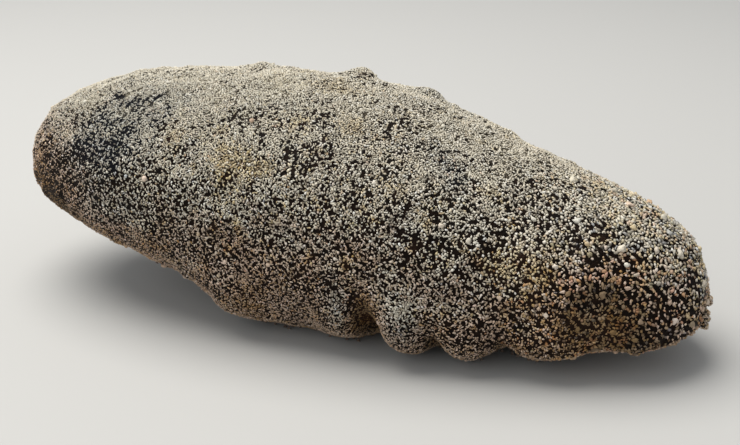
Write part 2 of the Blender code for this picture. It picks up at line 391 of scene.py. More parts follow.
def along(column, place):
    """One column of the envelope, read at each place on a smooth curve through its rows."""
    places = np.array([row[PLACE] for row in ENVELOPE])
    values = np.array([row[column] for row in ENVELOPE])
    slopes = np.gradient(values, places)
    i = np.clip(np.searchsorted(places, place) - 1, 0, len(places) - 2)
    span = places[i + 1] - places[i]
    u = (place - places[i]) / span
    rise = values[i + 1] - values[i]
    bend = (slopes[i] * span - rise) * (1 - u) - (slopes[i + 1] * span - rise) * u
    return values[i] + u * rise + u * (1 - u) * bend


def bare_body(place, girth):
    """Points of the body without its teats and knobs, as in the solids."""
    bluntness = np.where(place < 0, HEAD_BLUNTNESS, TAIL_BLUNTNESS)
    swell = (1 - np.abs(place) ** bluntness) ** (1 / bluntness)
    over, across = np.sin(girth), np.cos(girth)
    square = np.where(over > 0, BACK_SQUARENESS, along(BELLY_SQUARENESS, place))
    level = along(SIDE_LEVEL, place)
    crown = BODY_HEIGHT * along(CROWN, place)
    height = np.where(over > 0, crown, along(BELLY, place)) - level
    half_width = BODY_WIDTH / 2 * along(HALF_WIDTH, place)
    side = half_width * np.sign(across) * np.abs(across) ** (2 / square)
    rise = height * np.abs(over) ** (2 / square)
    return np.stack((place * BODY_LENGTH / 2, swell * side, level + swell * rise), axis=-1)


def outward(place, girth):
    """Unit normals of the bare body."""
    step = 0.002
    place = np.clip(place, -1 + 2 * step, 1 - 2 * step)
    lengthwise = bare_body(place + step, girth) - bare_body(place - step, girth)
    round_it = bare_body(place, girth + step) - bare_body(place, girth - step)
    return unit(np.cross(round_it, lengthwise))


def unit(rows):
    return rows / np.linalg.norm(rows, axis=1, keepdims=True)


def swelling(points, centre, reach, radius_along, radius_round):
    """How far each point rises on a rounded knob about a centre on the bare body."""
    offset = points - centre
    lengthwise = offset[:, 0] / radius_along
    round_it = np.hypot(offset[:, 1], offset[:, 2]) / radius_round
    return reach * np.exp(-(lengthwise**2) - round_it**2)


def centre_at(place, degrees):
    return bare_body(np.array([place]), np.radians([degrees]))[0]


def raised_at(points, place, degrees, *size):
    """The same for a knob as the tables give them, its reach and radii in millimetres."""
    return swelling(points, centre_at(place, degrees), *(part / 1000 for part in size))


def body_surface(place, girth):
    """Points of the body with its teats, knobs and creases, as in the solids."""
    bare = bare_body(place, girth)
    normal = outward(place, girth)
    raised = bare.copy()
    for table, way in ((TEATS, normal * (1, 1, TEAT_DROOP)), (KNOBS, normal)):
        for row in table:
            raised += way * raised_at(bare, *row)[:, None]
    return raised


def noise(points, size, seed):
    """Smooth random values from -1 to 1, with lumps of about that size."""
    scaled = points / np.asarray(size) + 31.7 * seed + 500
    cell = np.floor(scaled).astype(np.int64)
    part = scaled - cell
    part = part * part * (3 - 2 * part)
    total = np.zeros(len(points))
    for corner in np.ndindex(2, 2, 2):
        at = cell + corner
        mixed = at[:, 0] * 73856093 ^ at[:, 1] * 19349663 ^ at[:, 2] * 83492791
        mixed = (mixed ^ (mixed >> 13)) * 1274126177 & 0x7FFFFFFF
        mixed = (mixed ^ (mixed >> 16)) * 60493 & 0x7FFFFFFF
        weight = np.where(corner, part, 1 - part).prod(axis=1)
        total += weight * (mixed / 0x3FFFFFFF - 1)
    return total


def mottle(points, period, seed):
    """A random field of spots and worm-like gaps of one size, and its slope.

    It spreads about 0 with a deviation of 1.
    """
    own = np.random.default_rng(seed)
    waves = own.standard_normal((GAP_WAVES, 3))
    lengths = np.linalg.norm(waves, axis=1, keepdims=True)
    waves *= own.uniform(*GAP_BAND, (GAP_WAVES, 1)) / lengths
    height, slope = np.zeros(len(points)), np.zeros((len(points), 3))
    for wave, phase in zip(2 * math.pi / period * waves, own.uniform(0, 7, GAP_WAVES)):
        angle = points @ wave + phase
        height += np.cos(angle)
        slope -= np.sin(angle)[:, None] * wave
    return height / math.sqrt(GAP_WAVES / 2), slope


def smooth_step(low, high, value):
    share = np.clip((value - low) / (high - low), 0, 1)
    return share * share * (3 - 2 * share)


def patch(points, place, degrees, *radii):
    """1 at a place on the body, and falling smoothly to 0 round it."""
    return raised_at(points, place, degrees, 1000, *radii)


def add_patches(values, points, table):
    """Values with a table's patches added in turn."""
    return sum((amount * patch(points, *where) for *where, amount in table), values)


def frame_on_body(place, degrees):
    """A frame on the solids' surface with its Z pointing straight out of it."""
    at = np.array([place]), np.radians([degrees])
    centre, normal = body_surface(*at)[0], outward(*at)[0]
    return Matrix.Translation(Vector(centre)) @ turned_to(Vector(normal))


def turned_to(way):
    return way.to_track_quat("Z", "Y").to_matrix().to_4x4()


def into(frame_matrix, points):
    """Points in a frame's own coordinates."""
    inverse = np.array(frame_matrix.inverted())
    return points @ inverse[:3, :3].T + inverse[:3, 3]


def out_of(frame_matrix, points):
    matrix = np.array(frame_matrix)
    return points @ matrix[:3, :3].T + matrix[:3, 3]


def between(rings, beside):
    """The corners of the cells between rings of a grid, given each point's next one."""
    return np.stack((rings[:-1], beside[:-1], beside[1:], rings[1:]), axis=2)


def mesh_object(name, points, faces, fields, uv=None):
    """A smooth-shaded mesh object of triangles or quads, with point fields and a bake map."""
    data = bpy.data.meshes.new(name)
    starts, corners, total = [], [], 0
    for group in faces:
        starts.append(total + np.arange(len(group)) * group.shape[1])
        corners.append(group.ravel())
        total += group.size
    data.vertices.add(len(points))
    data.vertices.foreach_set("co", points.astype(np.float32).ravel())
    data.loops.add(total)
    data.loops.foreach_set("vertex_index", np.concatenate(corners).astype(np.int32))
    data.polygons.add(sum(map(len, faces)))
    data.polygons.foreach_set("loop_start", np.concatenate(starts).astype(np.int32))
    data.update(calc_edges=True)
    data.shade_smooth()
    for key, values in fields.items():
        layer = data.attributes.new(key, "FLOAT", "POINT")
        layer.data.foreach_set("value", values.astype(np.float32))
    if uv is not None:
        layer = data.uv_layers.new(name="OFBake")
        layer.data.foreach_set("uv", uv.astype(np.float32).ravel())
    return add_object(name, data)


class Skin:
    """The skin's grid: its points, their fields, and what lies between its rings."""

    def __init__(self):
        turn = np.linspace(0, math.pi, SKIN_LENGTH + 1)
        rings = -np.cos(turn + CROWDING * np.sin(2 * turn))
        girths = -math.pi / 2 + 2 * math.pi * np.arange(SKIN_ROUND) / SKIN_ROUND
        self.place = np.repeat(rings, SKIN_ROUND)
        self.girth = np.tile(girths, SKIN_LENGTH + 1)
        self.base = body_surface(self.place, self.girth)
        self.normal = outward(self.place, self.girth)
        self.mouth = frame_on_body(MOUTH_PLACE, -90)
        self.tail = Matrix.Translation(Vector(centre_at(1, 90))) @ Matrix.Rotation(
            math.pi / 2, 4, "Y"
        )
        self.groove = np.zeros(len(self.base))
        self.shape()
        self.measure()
        self.mark()

    def shape(self):
        """Lay the skin under the solids' surface, with its wrinkles, creases and pits."""
        height = self.relief()
        for p0, d0, p1, d1, depth, width in CREASES:
            share = np.linspace(0, 1, 24)
            line = bare_body(p0 + (p1 - p0) * share, np.radians(d0 + (d1 - d0) * share))
            near = np.min([np.linalg.norm(self.base - at, axis=1) for at in line], axis=0)
            cut = np.exp(-((near / width) ** 2))
            height -= depth * cut
            self.groove = np.maximum(self.groove, cut)
        points = self.base + self.normal * (height - COAT_DEPTH - SKIN_INSET)[:, None]
        local = into(self.mouth, points)
        rho = np.hypot(local[:, 0], local[:, 1])
        inside = (1 - smooth_step(*POCKET_EDGE, rho)) * (np.abs(local[:, 2]) < MOUTH_SPAN)
        local[:, 2] += inside * (-MOUTH_DEPTH - SKIN_INSET - local[:, 2])
        points = out_of(self.mouth, local)
        self.from_mouth = np.where(np.abs(local[:, 2]) < MOUTH_SPAN, rho, 1)
        rho = np.hypot(points[:, 1], points[:, 2] - self.tail.translation[2])
        self.from_anus = np.where(points[:, 0] > TAIL_START, rho, 1)
        points[:, 0] -= PIT_DEPTH * (1 - smooth_step(*PIT_EDGE, self.from_anus))
        points[:, 2] = np.maximum(points[:, 2], SOLE_HEIGHT)
        self.points = points

    def relief(self):
        """The height of the skin's wrinkles, warts, small knobs and hollows."""
        base = self.base
        rough = 1 - 0.55 * smooth_step(-0.35, -0.75, self.place)
        height = 0.00080 * rough * noise(base, 0.0105, 1)
        height += 0.00028 * noise(base, 0.0048, 2)
        folds = noise(base, (0.0042, 0.020, 0.020), 3)
        front = smooth_step(0.2, -0.8, self.place)
        low = smooth_step(0.3, -0.6, self.normal[:, 2])
        height += 0.00035 * folds * (0.35 + 0.65 * np.maximum(front, low))
        for _ in range(WARTS):
            place = random.uniform(-0.97, 0.97, 1)
            at = bare_body(place, random.uniform(-0.9, math.pi + 0.9, 1))[0]
            size = random.uniform(*WART_RADIUS)
            height += swelling(base, at, random.uniform(*WART_REACH), size, size)
        for row in RELIEF:
            height += raised_at(base, *row)
        return height

    def cell(self, values):
        """Values at the four corners of each cell of the grid."""
        table = values.reshape(SKIN_LENGTH + 1, SKIN_ROUND, -1)
        beside = np.roll(table, -1, axis=1)
        return table[:-1], table[1:], beside[:-1], beside[1:]

    def measure(self):
        """Each cell's area, and each point's normal."""
        a, b, c, d = self.cell(self.points)
        across = np.cross(d - a, b - c)
        self.area = np.linalg.norm(across, axis=-1).ravel() / 2
        table = np.zeros((SKIN_LENGTH + 1, SKIN_ROUND, 3))
        table[:-1] += across
        table[1:] += across
        table[:-1] += np.roll(across, 1, axis=1)
        table[1:] += np.roll(across, 1, axis=1)
        table[0], table[-1] = (-1, 0, 0), (1, 0, 0)
        normal = table.reshape(-1, 3)
        size = np.linalg.norm(normal, axis=1, keepdims=True)
        normal = np.where(size > 0, normal / np.maximum(size, 1e-20), self.normal)
        if (normal * self.normal).sum() < 0:
            normal = -normal
        self.facing = normal

    def mark(self):
        """Fields that skin and coat share."""
        at, up = self.base, self.facing[:, 2]
        top = smooth_step(-0.10, 0.98, up)
        low = smooth_step(0.25, -0.40, up)
        upper = smooth_step(0.20, 0.50, up) * smooth_step(0.99, 0.88, up)
        head = smooth_step(-0.60, -0.82, self.place)
        tail = smooth_step(0.45, 0.85, self.place)
        dark = patch(at, *HEAD_PATCH)
        # How much of the skin the sand covers
        small = (0.09 + 0.06 * upper) * noise(at, 0.0050, 12)
        small += 0.09 * upper * noise(at, 0.0085, 23)
        lumps = (0.06 + 0.06 * upper) * noise(at, 0.016, 11) + small
        cover = 0.705 + 0.22 * top + 0.04 * low + lumps
        cover += (0.19 - 0.10 * low + 0.05 * upper) * noise(at, 0.0023, 22)
        cover = add_patches(cover, at, COVER_PATCHES)
        # More sand on the tail, and thinner sand on the rear of the back: painted shade, darker
        # farther from the light
        cover += 0.05 * tail - 0.04 * top * smooth_step(0.20, 0.60, self.place)
        cover = np.maximum(cover, 0.50) - 0.9 * self.groove
        thin = 0.65 * upper * smooth_step(0.72, 0.54, cover)
        bare_mouth = 1 - smooth_step(*BARE_MOUTH, self.from_mouth)
        bare_anus = 1 - smooth_step(*BARE_ANUS, self.from_anus)
        cover -= 1.5 * np.maximum(bare_mouth, bare_anus)
        # How yellow, or below zero how blue, it is
        warm = 0.30 * noise(at, 0.022, 13) + 0.40 * noise(at, 0.009, 14)
        warm += 0.7 * smooth_step(0.45, 0.80, noise(at, 0.0050, 19))
        warm += 0.15 * tail + 0.30 * smooth_step(0.35, -0.6, up)
        warm = add_patches(warm, at, TINT_PATCHES)
        # How large its grains are, and how far the gaps are of the finest kind
        size = 1.0 + 0.12 * smooth_step(0.0, 0.5, self.place) + 0.42 * tail
        size -= 0.14 * np.maximum(head, dark) + 0.14 * low * (1 - 0.5 * tail)
        size += 0.08 * noise(at, 0.018, 15)
        other = (1 - head) * (1 - 0.9 * low) * (1 - 0.9 * dark) * (1 - thin)
        silt = 0.45 * smooth_step(0.30, 1.0, up) * (1 - 0.5 * tail)
        silt += 0.10 * noise(at, 0.010, 17)
        silt += 0.9 * upper * lumps
        self.fields = {
            "cover": cover,
            "warm": warm,
            "size": size,
            "mixed": 0.04 + 0.46 * tail + 0.02 * noise(at, 0.012, 16),
            "kind": 0.5 + 0.6 * noise(at, 0.0046, 20),
            "silt": silt,
            "grime": self.grime(at, up),
            "tail": tail,
            "fine": (1 - other) * (1 - tail),
            "top": smooth_step(0.30, 0.70, up),
        }

    def grime(self, at, up):
        """How browned and darkened the sand is, by brown grime and by painted shade."""
        # Darker where the sand faces down, and further up the sides under the head: painted
        # shade, mixed with brown grime
        front = smooth_step(-0.30, -0.60, self.place)
        browned_and_shaded = 0.60 * smooth_step(0.42, -0.12, up + 0.35 * front)
        browned_and_shaded += 0.12 * noise(at, 0.010, 18)
        for *where, amount in SHADE_AND_GRIME_PATCHES:
            if amount < 0:
                browned_and_shaded += amount * patch(at, *where)
            else:
                browned_and_shaded = np.maximum(browned_and_shaded, amount * patch(at, *where) + 0.5 * browned_and_shaded)
        return browned_and_shaded

    def build(self):
        index = np.arange((SKIN_LENGTH + 1) * SKIN_ROUND).reshape(-1, SKIN_ROUND)
        # Each end of the grid is one point.
        index = index - (SKIN_ROUND - 1)
        index[0], index[-1] = 0, (SKIN_LENGTH - 1) * SKIN_ROUND + 1
        keep = np.concatenate(
            ([0], np.arange(SKIN_ROUND, SKIN_LENGTH * SKIN_ROUND), [SKIN_LENGTH * SKIN_ROUND])
        )
        beside = np.roll(index, -1, axis=1)
        across = between(index, beside)
        u = np.arange(SKIN_LENGTH + 1) / SKIN_LENGTH
        v = np.arange(SKIN_ROUND + 1) / SKIN_ROUND
        grid = np.stack(np.meshgrid(u, v, indexing="ij"), axis=-1)
        uv = between(grid[:, :-1], grid[:, 1:])
        head, tail, trunk = across[0][:, [0, 2, 3]], across[-1][:, [0, 1, 2]], across[1:-1]
        uv_of = (uv[0][:, [0, 2, 3]], uv[-1][:, [0, 1, 2]], uv[1:-1].reshape(-1, 4, 2))
        faces = [head, tail, trunk.reshape(-1, 4)]
        shared = {key: values[keep] for key, values in self.fields.items()}
        maps = np.concatenate([part.reshape(-1, 2) for part in uv_of])
        return mesh_object("skin", self.points[keep], faces, shared, maps)

    def sample(self, count):
        """Random points spread evenly over the skin, with what the coat needs to know."""
        share = self.area / self.area.sum()
        cell = random.choice(len(share), count, p=share)
        row, column = np.divmod(cell, SKIN_ROUND)
        s, t = random.random(count), random.random(count)
        weights = ((1 - s) * (1 - t), s * (1 - t), (1 - s) * t, s * t)

        def read(values):
            corners = self.cell(values)
            width = corners[0].shape[-1]
            picked = [part.reshape(-1, width)[cell] for part in corners]
            return sum(w[:, None] * part for w, part in zip(weights, picked))

        found = {key: read(values)[:, 0] for key, values in self.fields.items()}
        found["normal"] = unit(read(self.facing))
        found["point"] = read(self.points)
        found["u"] = (row + s) / SKIN_LENGTH
        found["v"] = (column + t) / SKIN_ROUND
        return found

    def near_mouth(self, point):
        local = self.mouth.inverted() @ Vector(point)
        return math.hypot(local.x, local.y) < 0.0150 and abs(local.z) < MOUTH_SPAN


def ball(level):
    """Points and faces of a ball of triangles, the finer the higher the level."""
    mesh = bmesh.new()
    bmesh.ops.create_icosphere(mesh, subdivisions=level, radius=1)
    points = np.array([vert.co for vert in mesh.verts])
    faces = np.array([[vert.index for vert in face.verts] for face in mesh.faces])
    mesh.free()
    return points, faces


def double_cone(sides):
    """Points and faces of two cones on one zigzag rim: a ball of few triangles."""
    turn = 2 * math.pi * np.arange(sides) / sides
    rim = np.stack((np.cos(turn), np.sin(turn), 0.25 * (-1.0) ** np.arange(sides)), axis=1)
    points = np.concatenate((rim, [(0, 0, 1), (0, 0, -1)]))
    here, beside = np.arange(sides), np.roll(np.arange(sides), -1)
    upper = np.stack((here, beside, np.full(sides, sides)), axis=1)
    lower = np.stack((beside, here, np.full(sides, sides + 1)), axis=1)
    return points, np.concatenate((upper, lower))


def pebble_shapes(points, count, chips=0.26):
    """Chipped and bent grains of about unit radius from the points of a ball."""
    shapes = []
    for _ in range(count):
        shape = points * (1 + chips * random.standard_normal((len(points), 1)).clip(-1.6, 1.8))
        shape = shape * (1, random.uniform(0.85, 1.1), random.uniform(0.55, 0.85))
        shape[:, 1] += random.uniform(-0.3, 0.3) * shape[:, 0] ** 2
        shapes.append(shape)
    return np.array(shapes)


def packed(points, reach):
    """Which of the points stay, taken in turn, when each keeps the others out of its reach."""
    side = 2 * reach.max()
    shifted = ((points - points.min(axis=0)) / side + 1).tolist()
    cells, kept = {}, []
    around = [(i, j, k) for i in (-1, 0, 1) for j in (-1, 0, 1) for k in (-1, 0, 1)]
    for n, ((x, y, z), r) in enumerate(zip(shifted, (reach / side).tolist())):
        a, b, c = int(x), int(y), int(z)
        free = True
        for i, j, k in around:
            for px, py, pz, pr in cells.get((a + i, b + j, c + k), ()):
                if (px - x) ** 2 + (py - y) ** 2 + (pz - z) ** 2 < (pr + r) ** 2:
                    free = False
                    break
            if not free:
                break
        if free:
            cells.setdefault((a, b, c), []).append((x, y, z, r))
            kept.append(n)
    return kept


def gap_field(points, table):
    """The field whose low spots are the coat's gaps, and its slope."""
    shares = {"fine": table["fine"], "tail": table["tail"]}
    rest = 1 - table["fine"] - table["tail"]
    shares["top"] = rest * table["top"]
    shares["trunk"] = rest * (1 - table["top"])
    height, slope = np.zeros(len(points)), np.zeros((len(points), 3))
    for seed, (region, share) in enumerate(shares.items(), 21):
        near = share > 0.01
        found = mottle(points[near], GAP_PERIODS[region], seed)
        height[near] += share[near] * found[0]
        slope[near] += share[near, None] * found[1]
    return height / np.sqrt(sum(share**2 for share in shares.values())), slope


def chosen(table, stays):
    return {key: values[stays] for key, values in table.items()}


def clear_of_gaps(table):
    """The grains that leave the coat's gaps free, each laid along the nearest gap's edge."""
    cover = np.clip(table["cover"], 0.02, 0.995)
    # The level that a field of deviation 1 stays above over this share of the skin
    table["level"] = 4.91 * ((1 - cover) ** 0.14 - cover**0.14)
    height, slope = gap_field(table["point"], table)
    table["slope"] = slope
    table = chosen(table, height > table["level"])
    side = unit(np.cross(table["normal"], table["slope"]))
    other = np.cross(table["normal"], side)
    free = np.ones(len(side), bool)
    for axis, half in ((side, table["radius"] * table["stretch"]), (other, table["radius"])):
        for sign in (-0.8, 0.8):
            rim = table["point"] + sign * half[:, None] * axis
            free &= gap_field(rim, table)[0] > table["level"]
    table["side"] = unit(side + 0.40 * random.standard_normal(side.shape))
    return chosen(table, free)


def scatter(skin):
    """The grains: one table of all that they need, the coarse ones first."""
    tables = []
    for rank, (least, most, stretch, room, tries) in enumerate(GRAIN_CLASSES):
        table = skin.sample(tries)
        table["radius"] = random.uniform(least, most, tries) * table["size"]
        table["stretch"] = random.uniform(1.0, stretch, tries)
        table["reach"] = table["radius"] * np.sqrt(table["stretch"]) * room
        table["rank"] = np.full(tries, rank)
        table["side"] = unit(random.standard_normal((tries, 3)))
        chance = smooth_step(-0.05, 0.35, table["cover"])
        chance = np.where(table["normal"][:, 2] < -0.93, 0.25 * chance, chance)
        if rank == 0:
            chance *= 0.03 + 0.2 * table["tail"]
        table = chosen(table, random.random(tries) < chance)
        tables.append(clear_of_gaps(table) if rank else table)
    every = {key: np.concatenate([table[key] for table in tables]) for key in tables[0]}
    coarse = every["rank"] == 0
    first = packed(every["point"][coarse], every["reach"][coarse])
    every["reach"][coarse] = every["radius"][coarse] * 0.85
    order = np.concatenate((np.nonzero(coarse)[0][first], np.nonzero(~coarse)[0]))
    return chosen(every, order[packed(every["point"][order], every["reach"][order])])


def grain_mesh(name, grains, shapes, faces, start=0, end=1, varied=1):
    """A mesh of a table of grains, from start to end of the body, tints more or less varied."""
    count = len(grains["radius"])
    normal = unit(grains["normal"] + 0.30 * random.standard_normal((count, 3)))
    side = unit(grains["side"] - (grains["side"] * normal).sum(axis=1, keepdims=True) * normal)
    other = np.cross(normal, side)
    picked = shapes[random.integers(len(shapes), size=count)] * grains["radius"][:, None, None]
    picked[..., 0] *= grains["stretch"][:, None]
    axes = np.stack((side, other, normal), axis=1)
    placed = np.einsum("nvi,nij->nvj", picked, axes)
    sink = 0.25 * grains["radius"][:, None] * grains["normal"]
    points = placed + (grains["point"] + sink)[:, None]
    points[..., 2] = np.maximum(points[..., 2], 0.0001)
    corners = picked.shape[1]
    table = faces[None] + corners * np.arange(count)[:, None, None]
    lift = (placed * grains["normal"][:, None]).sum(axis=2) / grains["radius"][:, None]

    def each(values):
        return np.repeat(values, corners)

    fields = {
        "tint": each(random.random(count)),
        "sort": each(random.random(count)),
        "lift": np.clip(0.5 + 0.6 * lift, 0, 1).ravel(),
        "warm": each(grains["warm"] + 0.30 * varied * random.standard_normal(count)),
        "grime": each(grains["grime"] + 0.10 * varied * random.standard_normal(count)),
        "mixed": each(grains["mixed"]),
        "kind": each(grains["kind"] + 0.14 * varied * random.standard_normal(count)),
        "silt": each(grains["silt"]),
    }
    root = np.stack(((grains["u"] - start) / (end - start), grains["v"]), axis=1)
    flat = shapes[0][:, :2] / np.abs(shapes[0][:, :2]).max() * BAKE_PATCH / 2
    spread = np.clip(root[:, None] + flat[None], 0, 1)
    uv = spread.reshape(-1, 2)[table.ravel()]
    return mesh_object(name, points.reshape(-1, 3), [table.reshape(-1, 3)], fields, uv)


class Shader:
    """A material's nodes, made and joined in short lines."""

    def __init__(self, name):
        self.material = bpy.data.materials.new(name)
        self.material.use_nodes = True
        self.tree = self.material.node_tree
        self.surface = self.tree.nodes["Principled BSDF"]

    def set(self, **values):
        """Set the surface's inputs, each to a value or a node's output."""
        for key, value in values.items():
            self.give(value, self.surface.inputs[key.replace("_", " ")])

    def node(self, kind, **settings):
        made = self.tree.nodes.new("ShaderNode" + kind)
        for key, value in settings.items():
            setattr(made, key, value)
        return made

    def field(self, name):
        return self.node("Attribute", attribute_name=name).outputs["Fac"]

    def texture(self, kind, output, **values):
        made = self.node(kind)
        self.give(self.node("TexCoord").outputs["Object"], made.inputs["Vector"])
        for key, value in values.items():
            made.inputs[key].default_value = value
        return made.outputs[output]

    def noise(self, scale, detail=3.0, rough=0.55):
        return self.texture("TexNoise", "Fac", Scale=scale, Detail=detail, Roughness=rough)

    def cells(self, scale):
        return self.texture("TexVoronoi", "Distance", Scale=scale)

    def give(self, value, socket):
        if isinstance(value, bpy.types.NodeSocket):
            self.tree.links.new(value, socket)
        else:
            socket.default_value = value

    def maths(self, operation, a, b):
        made = self.node("Math", operation=operation)
        self.give(a, made.inputs[0])
        self.give(b, made.inputs[1])
        return made.outputs[0]

    def spread(self, value, low, high, to_low=0.0, to_high=1.0):
        made = self.node("MapRange", interpolation_type="SMOOTHSTEP")
        for key, number in zip(range(5), (value, low, high, to_low, to_high)):
            self.give(number, made.inputs[key])
        return made.outputs[0]

    def ramp(self, value, stops):
        made = self.node("ValToRGB")
        scale = made.color_ramp
        while len(scale.elements) < len(stops):
            scale.elements.new(0.5)
        for element, (at, colour) in zip(scale.elements, stops):
            element.position = at
            element.color = (*linear(colour), 1)
        self.give(value, made.inputs[0])
        return made.outputs["Color"]

    def mix(self, share, first, second, blend="MIX"):
        made = self.node("Mix", data_type="RGBA", blend_type=blend)
        self.give(share, made.inputs[0])
        for value, socket in ((first, made.inputs[6]), (second, made.inputs[7])):
            self.give((*linear(value), 1) if isinstance(value, tuple) else value, socket)
        return made.outputs[2]

    def bump(self, height, distance, strength):
        made = self.node("Bump")
        self.give(height, made.inputs["Height"])
        made.inputs["Distance"].default_value = distance
        made.inputs["Strength"].default_value = strength
        self.set(Normal=made.outputs[0])


def linear(colour):
    """Linear light from 8-bit display values."""
    share = np.array(colour) / 255
    return tuple(np.where(share < 0.04045, share / 12.92, ((share + 0.055) / 1.055) ** 2.4))


def sand_material():
    sand = Shader("coral_sand")
    common = sand.ramp(
        sand.field("tint"),
        (
            (0.00, (124, 114, 100)),
            (0.08, (160, 151, 135)),
            (0.28, (198, 190, 172)),
            (0.66, (222, 215, 198)),
            (0.92, (238, 233, 220)),
            (1.00, (250, 248, 242)),
        ),
    )
    odd = sand.ramp(
        sand.field("kind"),
        (
            (0.00, (70, 62, 56)),
            (0.08, (150, 152, 156)),
            (0.20, (176, 176, 172)),
            (0.30, (158, 152, 122)),
            (0.42, (212, 198, 162)),
            (0.56, (204, 184, 144)),
            (0.66, (206, 176, 142)),
            (0.76, (224, 196, 176)),
            (0.88, (232, 226, 210)),
            (1.00, (140, 112, 88)),
        ),
    )
    is_odd = sand.maths("LESS_THAN", sand.field("sort"), sand.field("mixed"))
    colour = sand.mix(is_odd, common, odd)
    warm = sand.field("warm")
    yellowed = sand.mix(1.0, colour, (246, 226, 176), "MULTIPLY")
    colour = sand.mix(sand.spread(warm, 0.10, 1.3, 0.0, 0.85), colour, yellowed)
    chilled = sand.mix(1.0, colour, (212, 218, 228), "MULTIPLY")
    colour = sand.mix(sand.spread(warm, -0.10, -1.1, 0.0, 0.9), colour, chilled)
    # Brown grime and painted shade: the sand browns and darkens as the field of grime and shade
    # rises
    soil_and_shade = ((0.0, (255, 255, 255)), (0.6, (244, 219, 209)), (1.0, (168, 147, 126)))
    colour = sand.mix(1.0, colour, sand.ramp(sand.field("grime"), soil_and_shade), "MULTIPLY")
    dust = sand.maths("MULTIPLY", sand.field("silt"), 1.1)
    colour = sand.mix(dust, colour, (226, 217, 196))
    mottled = sand.spread(sand.noise(1900), 0.30, 0.75, 0.78, 1.06)
    colour = sand.mix(1.0, colour, mottled, "MULTIPLY")
    # Painted shade: each grain darkens to brown towards the skin it sits on, less where silt
    # fills the gaps
    foot = sand.spread(sand.field("lift"), 0.05, 0.55, 1.0, 0.0)
    depth = sand.spread(sand.field("silt"), 0.0, 0.5, 0.55, 0.30)
    colour = sand.mix(sand.maths("MULTIPLY", foot, depth), colour, (58, 39, 24))
    sand.set(Base_Color=colour, Roughness=0.82, Specular_IOR_Level=0.30)
    sand.bump(sand.noise(3200, 2.0), 0.00012, 0.6)
    return sand.material


def skin_material():
    skin = Shader("dark_skin")
    grain = skin.noise(420, 4.0, 0.6)
    colour = skin.mix(skin.spread(grain, 0.35, 0.70), (16, 11, 8), (30, 19, 12))
    bluish = skin.spread(skin.field("warm"), -0.2, -0.9, 0.0, 0.8)
    colour = skin.mix(bluish, colour, (14, 17, 23))
    brown = skin.spread(skin.field("warm"), 0.3, 1.0, 0.0, 0.6)
    colour = skin.mix(brown, colour, (42, 27, 18))
    # Reddish-brown skin where the field of grime and shade is highest, in the hollows between
    # the teats
    soil_and_shade = skin.spread(skin.field("grime"), 1.1, 1.7, 0.0, 0.8)
    colour = skin.mix(soil_and_shade, colour, (58, 33, 21))
    dust = skin.maths("ADD", skin.field("silt"), skin.maths("MULTIPLY", skin.noise(900), 0.5))
    silt = skin.mix(skin.noise(2600, 2.0), (150, 139, 117), (196, 186, 160))
    colour = skin.mix(skin.spread(dust, 0.62, 1.12, 0.0, 0.9), colour, silt)
    rough = skin.spread(dust, 0.4, 0.9, 0.48, 0.85)
    skin.set(Base_Color=colour, Roughness=rough, Specular_IOR_Level=0.05)
    pores = skin.maths("ADD", skin.cells(1500), skin.noise(700, 4.0))
    skin.bump(pores, 0.00035, 0.7)
    return skin.material


def flesh_material(name):
    """Smooth, slightly moist flesh that pales along a field named lift."""
    dark, pale, scale, roughness = FLESH[name]
    flesh = Shader(name)
    mottled = flesh.maths("MULTIPLY", flesh.noise(scale), 0.6)
    tone = flesh.maths("ADD", flesh.field("lift"), mottled)
    colour = flesh.mix(flesh.spread(tone, 0.35, 1.45), dark, pale)
    speck = flesh.spread(flesh.cells(scale * 2.2), 0.0, 0.5, roughness - 0.12, roughness + 0.08)
    flesh.set(Base_Color=colour, Roughness=speck, Specular_IOR_Level=0.45)
    flesh.bump(flesh.noise(scale * 1.6, 3.0), 0.0002, 0.6)
    return flesh.material


def lathe(profile, steps):
    """Points and faces of a closed shape spun from (radius, height) rows, poles at the ends."""
    turn = 2 * math.pi * np.arange(steps) / steps
    rings = [
        np.stack((radius * np.cos(turn), radius * np.sin(turn), np.full(steps, height)), axis=1)
        for radius, height in profile[1:-1]
    ]
    ends = [np.array([[0, 0, height]]) for _, height in (profile[0], profile[-1])]
    points = np.concatenate((ends[0], *rings, ends[1]))
    index = 1 + np.arange(len(rings) * steps).reshape(-1, steps)
    beside = np.roll(index, -1, axis=1)
    quads = between(index, beside).reshape(-1, 4)
    bottom = np.stack((np.zeros(steps, int), beside[0], index[0]), axis=1)
    top = np.stack((np.full(steps, len(points) - 1), index[-1], beside[-1]), axis=1)
    return points, np.concatenate((bottom, top, quads[:, [0, 1, 2]], quads[:, [0, 2, 3]]))


class Heap:
    """Many small shapes gathered into one mesh."""

    def __init__(self):
        self.points, self.faces, self.lift, self.count = [], [], [], 0

    def add(self, points, faces, lift):
        self.points.append(points)
        self.faces.append(faces + self.count)
        self.lift.append(lift)
        self.count += len(points)

    def build(self, name):
        points, faces, lift = map(np.concatenate, (self.points, self.faces, self.lift))
        return mesh_object(name, points, [faces], {"lift": lift})


def whorl_frames(base, count, ring_radius, lean=0, start=0):
    """Frames set round a ring, each leaning outwards by some degrees."""
    for i in range(count):
        turn = Matrix.Rotation(2 * math.pi * (i + start) / count, 4, "Z")
        out = Matrix.Translation((ring_radius, 0, 0))
        yield base @ turn @ out @ Matrix.Rotation(math.radians(lean), 4, "Y")


